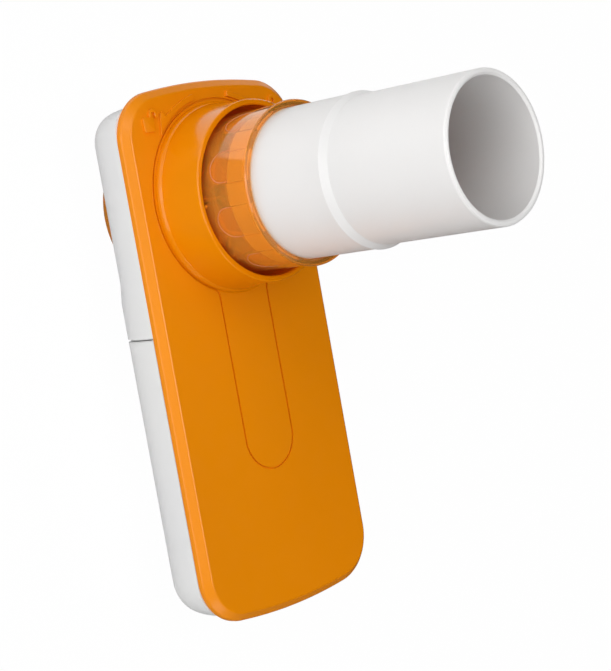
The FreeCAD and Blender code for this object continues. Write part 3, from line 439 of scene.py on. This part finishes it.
# Moulded epoxy with silica: black and slightly grainy.
CHIP_EPOXY = MouldedPlastic("black_epoxy_moulded", "#202124", 0.55, 1.55,
                            flow_colour="#242528", skin_mm=0.15, skin_depth_mm=0.01)
# Fired ceramic: matt tan.
TAN_CERAMIC = MouldedPlastic("ceramic_fired", "#A88B66", 0.5, 1.7,
                             flow_colour="#9C7F5C", skin_mm=0.2, skin_depth_mm=0.01)
# Cast epoxy with infrared dye: nearly black violet, glassy.
INFRARED_EPOXY = Finish("infrared_epoxy_cast", "#1C1226", 0.12, 1.54)
# Polyimide film: amber and glossy.
AMBER_FILM = Finish("polyimide_film_laminated", "#B8781E", 0.25, 1.7)
# Shrink sleeve of PVC over the cell's can: dark, smooth, bare of print.
DARK_SLEEVE = MouldedPlastic("pvc_sleeve_shrunk", "#2B3038", 0.3, 1.53,
                             flow_colour="#272C33", skin_mm=2.0, skin_depth_mm=0.01)


@dataclass
class SubAssembly:
    """Pieces that are fitted together as one unit of the device.

    Attributes:
        finishes: the finish of each CAD node that keeps its own mesh.
    """

    finishes: dict[str, Finish] = field(default_factory=dict)

    def dress(self, piece: bpy.types.Object, finish: Finish) -> None:
        """Puts a finish on a piece.

        Args:
            piece: the piece.
            finish: its finish.
        """
        material = bpy.data.materials.get(finish.name) or finish.make()
        piece.data.materials.clear()
        piece.data.materials.append(material)
        LOG.info("%s: %s", piece.name, finish.name)

    def own_piece(self, name: str, points: list[Place], faces: Faces) -> bpy.types.Object:
        """Makes a piece that the CAD frame doesn't have.

        Args:
            name: the piece's name.
            points: its points in metres.
            faces: its faces.

        Returns:
            The piece, smoothly shaded.
        """
        mesh = bpy.data.meshes.new(name)
        mesh.from_pydata(points, [], faces)
        mesh.shade_smooth()
        piece = bpy.data.objects.new(name, mesh)
        bpy.context.scene.collection.objects.link(piece)
        return piece

    def build(self) -> None:
        """Dresses the pieces that come from the CAD frame."""
        for node, finish in self.finishes.items():
            self.dress(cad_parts[node], finish)


def moved(points: list[Point], by: Point) -> list[Point]:
    """Moves points in the front face's plane."""
    return [(x + by[0], y + by[1]) for x, y in points]


def arc(radius: float, start: float, end: float, steps: int) -> list[Point]:
    """Points on a circle about the origin.

    Args:
        radius: the circle's radius in mm.
        start: angle of the first point in degrees.
        end: angle of the last point in degrees.
        steps: number of chords.

    Returns:
        The points, both ends included.
    """
    angles = [math.radians(start + (end - start) * i / steps) for i in range(steps + 1)]
    return [(radius * math.cos(a), radius * math.sin(a)) for a in angles]


def drawn_in(outline: list[Point], by: float) -> list[Point]:
    """Draws an anticlockwise outline in towards its inside.

    Args:
        outline: the closed outline.
        by: distance in mm.

    Returns:
        The smaller outline, with as many points.
    """
    inner = []
    for i, here in enumerate(outline):
        point = Vector(here)
        before = (point - Vector(outline[i - 1])).normalized()
        after = (Vector(outline[(i + 1) % len(outline)]) - point).normalized()
        inward = Vector((-before.y - after.y, before.x + after.x))
        reach = by / max(MITRE_LIMIT, inward.length / 2)
        inner.append(tuple(point + inward.normalized() * reach))
    return inner


def lofted(rings: int, count: int, first: int = 0) -> Faces:
    """Joins equal rings of points into a closed skin with a flat face at both ends.

    Args:
        rings: number of rings.
        count: points in each ring, anticlockwise seen from the last ring.
        first: number of the first ring's first point.

    Returns:
        The faces.
    """
    last = first + (rings - 1) * count
    faces: Faces = [tuple(range(first, first + count))[::-1]]
    for base in range(first, last, count):
        for i in range(count):
            after = (i + 1) % count
            faces.append((base + i, base + after, base + count + after, base + count + i))
    faces.append(tuple(range(last, last + count)))
    return faces


@dataclass
class FrontCover(SubAssembly):
    """The orange front moulding with the raised lock signs beside its collar.

    Attributes:
        face_z: height of the front face.
        sign_rise: how far the signs stand proud.
        sign_edge: rounding of their upper edges.
        sign_turns: angles in degrees at which that rounding has its rings.
        sign_crease: angle in degrees over which an edge stays sharp.
        sign_root: how deep they reach into the cover.
        axis_y: the turbine axis, about which the arrows curve.
        lock_size: width and height of a padlock's body.
        lock_corner: rounding of its corners.
        lock_place: middle of the left padlock's body.
        shackle_radii: inner and outer radius of a padlock's shackle.
        shackle_rise: height of the shackle's round part over the body's middle.
        shackle_foot: how low its legs reach, from the body's middle.
        open_shift: how far the open shackle stands aside.
        arrow_radii: inner and outer radius of an arrow's bar.
        arrow_angles: where the bar starts, where the head starts and where its tip is.
        barb_radius: how far out the head's barb stands.
        barb_angles: where the barb's end begins and ends, from the head's start.
    """

    finishes: dict[str, Finish] = field(default_factory=lambda: {"front_cover": ORANGE_ABS})
    face_z: float = 20.0
    sign_rise: float = 0.5
    sign_edge: float = 0.07
    sign_turns: tuple[float, ...] = (0.0, 30.0, 60.0, 90.0)
    sign_crease: float = 50.0
    sign_root: float = 0.05
    axis_y: float = 30.5
    lock_size: Point = (2.9, 2.9)
    lock_corner: float = 0.3
    lock_place: Point = (-17.85, 46.9)
    shackle_radii: Point = (0.42, 1.1)
    shackle_rise: float = 1.95
    shackle_foot: float = 1.3
    open_shift: float = 1.45
    arrow_radii: Point = (20.75, 21.95)
    arrow_angles: tuple[float, float, float] = (103.0, 126.4, 137.0)
    barb_radius: float = 23.3
    barb_angles: Point = (0.4, 2.2)

    def lock_body(self) -> list[Point]:
        """Draws a padlock's body: a square with round corners.

        Returns:
            Its outline about its middle.
        """
        half_width, half_height = (side / 2 - self.lock_corner for side in self.lock_size)
        outline: list[Point] = []
        for quarter, (sx, sy) in enumerate(((1, 1), (-1, 1), (-1, -1), (1, -1))):
            corner = arc(self.lock_corner, 90 * quarter, 90 * quarter + 90, steps=4)
            outline += moved(corner, (sx * half_width, sy * half_height))
        return outline

    def shackle(self) -> list[Point]:
        """Draws a padlock's shackle: a bar bent to a narrow arch.

        Returns:
            Its outline about the middle of the body below it.
        """
        inner, outer = self.shackle_radii
        arch = moved(arc(outer, 0, 180, steps=14), (0, self.shackle_rise))
        hollow = moved(arc(inner, 180, 0, steps=10), (0, self.shackle_rise))
        foot = self.shackle_foot
        return [(outer, foot)] + arch + [(-outer, foot), (-inner, foot)] + hollow + [(inner, foot)]

    def arrow(self) -> list[Point]:
        """Draws a half arrow that curves round the collar, anticlockwise.

        Returns:
            Its outline in the front face's plane.
        """
        start, head, tip = self.arrow_angles
        inner, outer = self.arrow_radii
        inside = arc(inner, tip, start, steps=24)
        outside = arc(outer, start, head, steps=18)
        barb = arc(self.barb_radius, head + self.barb_angles[0], head + self.barb_angles[1], steps=2)
        return moved(inside + outside + barb, (0, self.axis_y))

    def sign(self, name: str, outline: list[Point]) -> None:
        """Builds one raised sign with rounded upper edges.

        Args:
            name: the piece's name.
            outline: its outline in the front face's plane.
        """
        area = sum(a[0] * b[1] - b[0] * a[1] for a, b in zip(outline, outline[1:] + outline[:1]))
        if area < 0:
            outline = outline[::-1]
        top = self.face_z + self.sign_rise
        rings = [(self.face_z - self.sign_root, 0.0)]
        for turn in map(math.radians, self.sign_turns):
            drop = self.sign_edge * (1 - math.sin(turn))
            rings.append((top - drop, self.sign_edge * (1 - math.cos(turn))))
        points = [(x * MM, y * MM, z * MM) for z, by in rings for x, y in drawn_in(outline, by)]
        piece = self.own_piece(name, points, lofted(len(rings), len(outline)))
        piece.data.set_sharp_from_angle(angle=math.radians(self.sign_crease))
        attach(piece, Body.HOUSING.value)
        self.dress(piece, ORANGE_ABS)

    def build(self) -> None:
        """Dresses the moulding and adds its signs: unlocked on the left, locked on the right."""
        super().build()
        x, y = self.lock_place
        arrow = self.arrow()
        self.sign("unlocked_padlock_body", moved(self.lock_body(), (x, y)))
        self.sign("unlocked_padlock_shackle", moved(self.shackle(), (x + self.open_shift, y)))
        self.sign("unlock_arrow", arrow)
        self.sign("locked_padlock_body", moved(self.lock_body(), (-x, y)))
        self.sign("locked_padlock_shackle", moved(self.shackle(), (-x, y)))
        self.sign("lock_arrow", [(-px, py) for px, py in arrow])


@dataclass
class BackShells(SubAssembly):
    """The white rear shell, the sliding battery cover with its pad, and the screws."""

    finishes: dict[str, Finish] = field(default_factory=lambda: {
        "rear_shell": WHITE_ABS, "battery_cover": WHITE_ABS, "cover_pad": BLACK_FOAM,
        "case_screws": STEEL,
    })


@dataclass
class TurbineUnit(SubAssembly):
    """The removable clear turbine with its guide wheels, pivots and rotor, and its seat.

    Attributes:
        axis_y: the turbine axis.
        tube_radius: outer radius of the clear tube.
        pocket_count: number of pockets in its wall.
        pocket_angle: middle of the first pocket in degrees.
        edge_reach: half the width of a pocket's edge line, a fine ridge with a painted highlight.
        edge_low: where the line's round end lies lowest.
        edge_top: where its two arms end.
        edge_section: the line's cross-section: along the wall, and out of it.
        edge_taper: its share at an arm's end, and over how many points it grows to full size.
    """

    finishes: dict[str, Finish] = field(default_factory=lambda: {
        "turbine_seat": BLACK_NYLON, "seat_gasket": BLACK_FOAM, "turbine_body": AMBER_PC,
        "front_swirler": AMBER_PC, "rear_swirler": AMBER_PC, "front_pivot_cup": RUBY,
        "rear_pivot_cup": RUBY, "rotor_shaft": STEEL, "rotor_vane": BLACK_FILM,
    })
    axis_y: float = 30.5
    tube_radius: float = 16.0
    pocket_count: int = 9
    pocket_angle: float = 39.1
    edge_reach: float = 3.12
    edge_low: float = 31.85
    edge_top: float = 37.0
    edge_section: tuple[Point, ...] = (
        (-0.12, -0.03), (-0.08, 0.04), (0.0, 0.06), (0.08, 0.04), (0.12, -0.03),
    )
    edge_taper: tuple[float, int] = (0.15, 4)

    def edge_line(self) -> list[Point]:
        """Draws the middle line of a pocket's edge: two arms and a round end.

        Returns:
            Its points, along the wall from the pocket's middle, and up.
        """
        middle = self.edge_low + self.edge_reach
        arm_points = self.edge_taper[1]
        step = (self.edge_top - middle) / arm_points
        arm = [(self.edge_reach, self.edge_top - step * i) for i in range(arm_points)]
        turn = moved(arc(self.edge_reach, 0, -180, steps=24), (0, middle))
        return arm + turn + [(-x, z) for x, z in arm[::-1]]

    def edge_ridge(self, line: list[Point], middle: float) -> list[Place]:
        """Lays the ridge of one pocket's edge round the tube's wall.

        Args:
            line: its middle line.
            middle: angle of the pocket's middle, in radians.

        Returns:
            Its points in metres, ring by ring.
        """
        least, growth = self.edge_taper
        last = len(line) - 1
        points: list[Place] = []
        for i, (along, up) in enumerate(line):
            before, after = Vector(line[max(0, i - 1)]), Vector(line[min(last, i + 1)])
            across = Vector((after.y - before.y, before.x - after.x)).normalized()
            size = min(1.0, least + min(i, last - i) / growth)
            for side, out in self.edge_section:
                angle = middle + (along + across.x * side * size) / self.tube_radius
                radius = self.tube_radius + (out * size if out > 0 else out)
                points.append((
                    radius * math.cos(angle) * MM,
                    (self.axis_y + radius * math.sin(angle)) * MM,
                    (up + across.y * side * size) * MM,
                ))
        return points

    def pocket_edges(self) -> None:
        """Builds the edge line of every pocket as one piece of fine ridges, with a painted highlight in
        their paler colour.
        """
        line = self.edge_line()
        points: list[Place] = []
        faces: Faces = []
        for pocket in range(self.pocket_count):
            middle = math.radians(self.pocket_angle + 360.0 * pocket / self.pocket_count)
            faces += lofted(len(line), len(self.edge_section), first=len(points))
            points += self.edge_ridge(line, middle)
        piece = self.own_piece("turbine_pocket_edges", points, faces)
        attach(piece, Body.TURBINE.value)
        # The paler, milky finish paints a highlight along the ridges.
        self.dress(piece, AMBER_PAINTED_EDGE_HIGHLIGHT)

    def build(self) -> None:
        """Dresses the unit and adds the pockets' edge lines."""
        super().build()
        self.pocket_edges()


@dataclass
class MouthTube(SubAssembly):
    """The white mouthpiece that is pushed into the turbine."""

    finishes: dict[str, Finish] = field(default_factory=lambda: {"mouthpiece": WHITE_PP})


@dataclass
class Electronics(SubAssembly):
    """Main board with its parts, and the infrared pairs on their own boards."""

    finishes: dict[str, Finish] = field(default_factory=lambda: {
        "main_board": GREEN_BOARD, "processor_chip": CHIP_EPOXY, "radio_module": STEEL,
        "board_parts": TAN_CERAMIC, "ir_emitters": INFRARED_EPOXY, "ir_receivers": INFRARED_EPOXY,
        "emitter_board": GREEN_BOARD, "receiver_board": GREEN_BOARD, "flex_cable": AMBER_FILM,
    })


@dataclass
class BatteryBay(SubAssembly):
    """The tray with both cells and the contacts."""

    finishes: dict[str, Finish] = field(default_factory=lambda: {
        "battery_tray": BLACK_NYLON, "battery_left": DARK_SLEEVE, "battery_right": DARK_SLEEVE,
        "battery_springs": STEEL, "contact_link": STEEL, "battery_terminals": STEEL,
    })


@dataclass
class SoftBox:
    """A square studio light that faces the object.

    Attributes:
        name: the light's name.
        azimuth: its direction from the object, in degrees from +X, anticlockwise seen from above.
        elevation: its height over the floor, in degrees.
        power: watts.
        distance: metres from the object.
        side: its side in metres.
        aim: the point that it faces, in metres.
    """

    name: str
    azimuth: float
    elevation: float
    power: float
    distance: float = 1.2
    side: float = 0.55
    aim: Place = (0.0, 0.0, 0.03)

    def build(self) -> None:
        """Makes the light."""
        data = bpy.data.lights.new(self.name, "AREA")
        data.shape = "SQUARE"
        data.size = self.side
        data.energy = self.power
        lamp = bpy.data.objects.new(self.name, data)
        bpy.context.scene.collection.objects.link(lamp)
        across, up = math.radians(self.azimuth), math.radians(self.elevation)
        way = Vector((math.cos(up) * math.cos(across), math.cos(up) * math.sin(across), math.sin(up)))
        lamp.location = Vector(self.aim) + way * self.distance
        lamp.rotation_mode = "QUATERNION"
        lamp.rotation_quaternion = (-way).to_track_quat("-Z", "Y")


@dataclass
class Studio:
    """Camera, floor, backdrop colour and lights.

    Attributes:
        camera_mm: the camera's place.
        right: the picture's right-hand direction.
        down: the picture's downward direction.
        ahead: the viewing direction.
        focal_px: focal length in pixels of the picture.
        picture_px: the picture's long side.
        sensor_mm: the side of the sensor that the long side falls on.
        clip_m: nearest and farthest distance that the camera sees.
        floor_m: half the floor's width.
        floor_drop_mm: how far the paper lies below the object's back.
        paper_colour: its colour.
        paper_glow: how far the floor is whitened where it is seen.
        floor_mirrored: how much of that white the glossy pieces mirror.
        card_edge: where along the body, in metres, they begin to mirror all of it, as from a white card.
        ambient: strength of the even light from all round.
        backdrop_mirrored: how much of the white backdrop the glossy and clear pieces mirror.
        flag_side: direction of the black flag's middle.
        flag_edge: cosine from that direction where the flag begins and where it is full.
        flag_level: what is left of the surroundings in the flag.
        boxes: the lights.
    """

    camera_mm: Place = (-280.324, 27.678, 301.002)
    right: Place = (0.66885, -0.17528, 0.72244)
    down: Place = (-0.17074, -0.98205, -0.08019)
    ahead: Place = (0.72352, -0.06972, -0.68677)
    focal_px: float = 1949.73
    picture_px: float = 671.0
    sensor_mm: float = 36.0
    clip_m: Point = (0.01, 50.0)
    floor_m: float = 6.0
    floor_drop_mm: float = 0.1
    paper_colour: str = "#F4F4F4"
    paper_glow: float = 0.98
    floor_mirrored: float = 0.04
    card_edge: Point = (0.066, 0.069)
    ambient: float = 0.2
    backdrop_mirrored: float = 0.2
    flag_side: Place = (0.72, -0.07, 0.69)
    flag_edge: Point = (0.35, 0.85)
    flag_level: float = 0.03
    boxes: list[SoftBox] = field(default_factory=lambda: [
        SoftBox("top_softbox", 0, 90, 6.3),
        SoftBox("end_softbox_low", 120, 20, 0.9),
        SoftBox("end_softbox_high", 120, 50, 1.7),
        SoftBox("corner_softbox", 150, 20, 2.5, side=0.9),
        SoftBox("side_softbox", 180, 20, 5.3, side=1.0),
        SoftBox("foot_softbox", 250, 20, 2.1),
    ])

    def camera(self) -> None:
        """Sets the camera as the picture was taken."""
        data = bpy.data.cameras.new("camera")
        data.sensor_width = self.sensor_mm
        data.lens = self.focal_px * self.sensor_mm / self.picture_px
        data.clip_start, data.clip_end = self.clip_m
        camera = bpy.data.objects.new("camera", data)
        bpy.context.scene.collection.objects.link(camera)
        axes = Matrix((self.right, -Vector(self.down), -Vector(self.ahead))).transposed()
        camera.matrix_world = Matrix.Translation(Vector(self.camera_mm) * MM) @ axes.to_4x4()
        bpy.context.scene.camera = camera

    def paper(self) -> bpy.types.Material:
        """Makes the floor's matt paper, which is seen white and is mirrored dark near the object.

        Returns:
            The material.
        """
        material = bpy.data.materials.new("paper_floor_matt")
        material.use_nodes = True
        tree = material.node_tree
        tree.nodes.clear()
        matt = add_node(tree, "ShaderNodeBsdfDiffuse", {"Color": to_linear(self.paper_colour)})
        place = add_node(tree, "ShaderNodeNewGeometry").outputs["Position"]
        spot = add_node(tree, "ShaderNodeSeparateXYZ", {0: place})
        card = add_node(tree, "ShaderNodeMapRange", {
            "Value": spot.outputs["Y"], "From Min": self.card_edge[0], "From Max": self.card_edge[1],
            "To Min": self.floor_mirrored, "To Max": 1.0,
        }, interpolation_type="SMOOTHSTEP")
        path = add_node(tree, "ShaderNodeLightPath")
        level = add_node(tree, "ShaderNodeMix", {
            "Factor": path.outputs["Is Glossy Ray"], "A": 1.0, "B": card.outputs[0],
        }, data_type="FLOAT")
        glow = add_node(tree, "ShaderNodeEmission", {
            "Color": (1, 1, 1, 1), "Strength": level.outputs["Result"],
        })
        mirrored = add_node(tree, "ShaderNodeMath", {
            0: path.outputs["Is Glossy Ray"], 1: path.outputs["Is Transmission Ray"],
        }, operation="MAXIMUM")
        shown = add_node(tree, "ShaderNodeMath", {
            0: path.outputs["Is Camera Ray"], 1: self.paper_glow,
        }, operation="MULTIPLY")
        whitened = add_node(tree, "ShaderNodeMath", {
            0: shown.outputs[0], 1: mirrored.outputs[0],
        }, operation="MAXIMUM")
        both = add_node(tree, "ShaderNodeMixShader", {
            0: whitened.outputs[0], 1: matt.outputs[0], 2: glow.outputs[0],
        })
        add_node(tree, "ShaderNodeOutputMaterial", {"Surface": both.outputs[0]})
        return material

    def floor(self) -> None:
        """Lays the pale floor, which shows white and keeps the object's soft shadow."""
        reach, low = self.floor_m, -self.floor_drop_mm * MM
        corners = [(x * reach, y * reach, low) for x, y in ((-1, -1), (1, -1), (1, 1), (-1, 1))]
        mesh = bpy.data.meshes.new("floor")
        mesh.from_pydata(corners, [], [(0, 1, 2, 3)])
        mesh.materials.append(self.paper())
        floor = bpy.data.objects.new("floor", mesh)
        bpy.context.scene.collection.objects.link(floor)

    def surroundings(self) -> None:
        """Sets a white backdrop, an even light and a black flag where the front face mirrors."""
        world = bpy.data.worlds.new("studio")
        bpy.context.scene.world = world
        world.use_nodes = True
        tree = world.node_tree
        tree.nodes.clear()
        path = add_node(tree, "ShaderNodeLightPath")
        mirrored = add_node(tree, "ShaderNodeMath", {
            0: path.outputs["Is Glossy Ray"], 1: path.outputs["Is Transmission Ray"],
        }, operation="MAXIMUM")
        even = add_node(tree, "ShaderNodeMapRange", {
            "Value": mirrored.outputs[0], "To Min": self.ambient, "To Max": self.backdrop_mirrored,
        })
        way = add_node(tree, "ShaderNodeTexCoord").outputs["Generated"]
        towards = add_node(tree, "ShaderNodeVectorMath", {
            0: way, 1: self.flag_side,
        }, operation="DOT_PRODUCT")
        flag = add_node(tree, "ShaderNodeMapRange", {
            "Value": towards.outputs["Value"],
            "From Min": self.flag_edge[0], "From Max": self.flag_edge[1],
            "To Min": 1.0, "To Max": self.flag_level,
        }, interpolation_type="SMOOTHSTEP")
        flagged = add_node(tree, "ShaderNodeMath", {
            0: even.outputs[0], 1: flag.outputs[0],
        }, operation="MULTIPLY")
        strength = add_node(tree, "ShaderNodeMath", {
            0: flagged.outputs[0], 1: path.outputs["Is Camera Ray"],
        }, operation="MAXIMUM")
        light = add_node(tree, "ShaderNodeBackground", {
            "Color": (1, 1, 1, 1), "Strength": strength.outputs[0],
        })
        add_node(tree, "ShaderNodeOutputWorld", {"Surface": light.outputs[0]})

    def build(self) -> None:
        """Sets up the whole studio."""
        bpy.context.scene.view_settings.view_transform = "Standard"
        self.camera()
        self.floor()
        self.surroundings()
        for light in self.boxes:
            light.build()
        LOG.info("studio ready with %d lights", len(self.boxes))


def main() -> None:
    """Builds the studio and the object."""
    logging.basicConfig(level=logging.INFO, format="%(name)s: %(message)s")
    Studio().build()
    for unit in (FrontCover(), BackShells(), TurbineUnit(), MouthTube(), Electronics(), BatteryBay()):
        unit.build()


if __name__ == "__main__":
    main()
